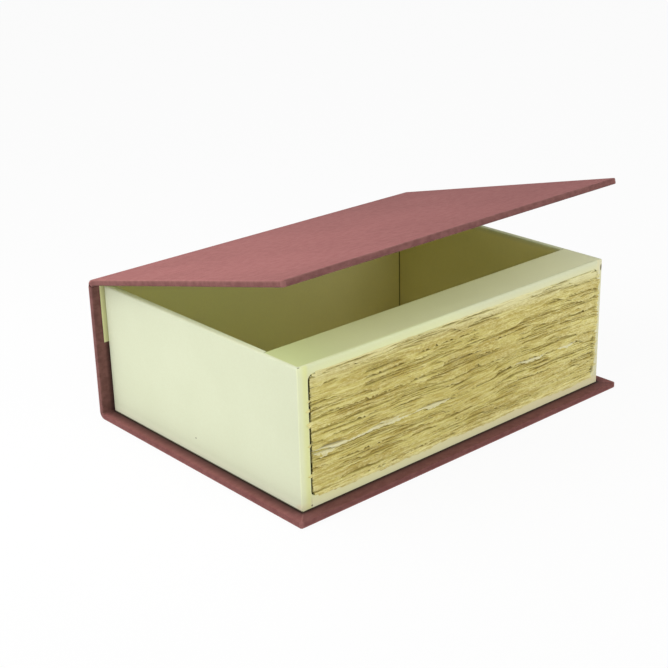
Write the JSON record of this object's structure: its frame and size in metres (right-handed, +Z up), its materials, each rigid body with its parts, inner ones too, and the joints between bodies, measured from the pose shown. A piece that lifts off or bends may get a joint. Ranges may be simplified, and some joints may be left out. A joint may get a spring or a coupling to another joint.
{
  "type": "book-shaped box",
  "caption": "Hinged storage box shaped like a case-bound book, with a cloth case, a paper-lined tray and deckle-edged leaves along its fore-edge.",
  "frame": {"origin": "on the underside of the base, below the middle of the tray", "axes": "+X along the spine from tail to head, +Y from the fore-edge to the spine, +Z up"},
  "size_m": [0.238, 0.175, 0.1236],
  "materials": {
    "greyboard": "matte",
    "bookcloth": "matte",
    "cream_paper": "matte",
    "deckle_paper": "matte",
    "white_paper": "matte"
  },
  "bodies": {
    "root": {"base_board": "greyboard", "base_cloth": "bookcloth", "tray_floor": "greyboard", "tail_wall": "greyboard", "head_wall": "greyboard", "spine_wall": "greyboard", "inner_wall": "greyboard", "ledge_board": "greyboard", "fore_edge_frame": "greyboard", "lower_leaves": "deckle_paper", "white_leaf": "white_paper", "upper_leaves": "deckle_paper", "tray_wrap": "cream_paper", "frame_paper": "cream_paper", "ledge_paper": "cream_paper", "floor_lining": "cream_paper", "tail_lining": "cream_paper", "head_lining": "cream_paper", "spine_wall_lining": "cream_paper", "lower_joint_cloth": "bookcloth"},
    "spine": {"spine_board": "greyboard", "spine_cloth": "bookcloth", "spine_liner": "cream_paper", "hinge_strip": "cream_paper", "upper_joint_cloth": "bookcloth", "inner_joint_paper": "cream_paper"},
    "lid": {"lid_board": "greyboard", "lid_cloth": "bookcloth", "lid_lining": "cream_paper"}
  },
  "joints": [
    {"name": "spine_hinge", "type": "hinge", "parent": "root", "child": "spine", "pos_m": [0, 0.0845, 0.001], "axis": [-1, 0, 0], "range_deg": [0, 90], "deforming": ["lower_joint_cloth"]},
    {"name": "lid_hinge", "type": "hinge", "parent": "spine", "child": "lid", "pos_m": [0, 0.0845, 0.0813], "axis": [-1, 0, 0], "range_deg": [-13.9, 76.1], "deforming": ["upper_joint_cloth", "inner_joint_paper"]}
  ]
}
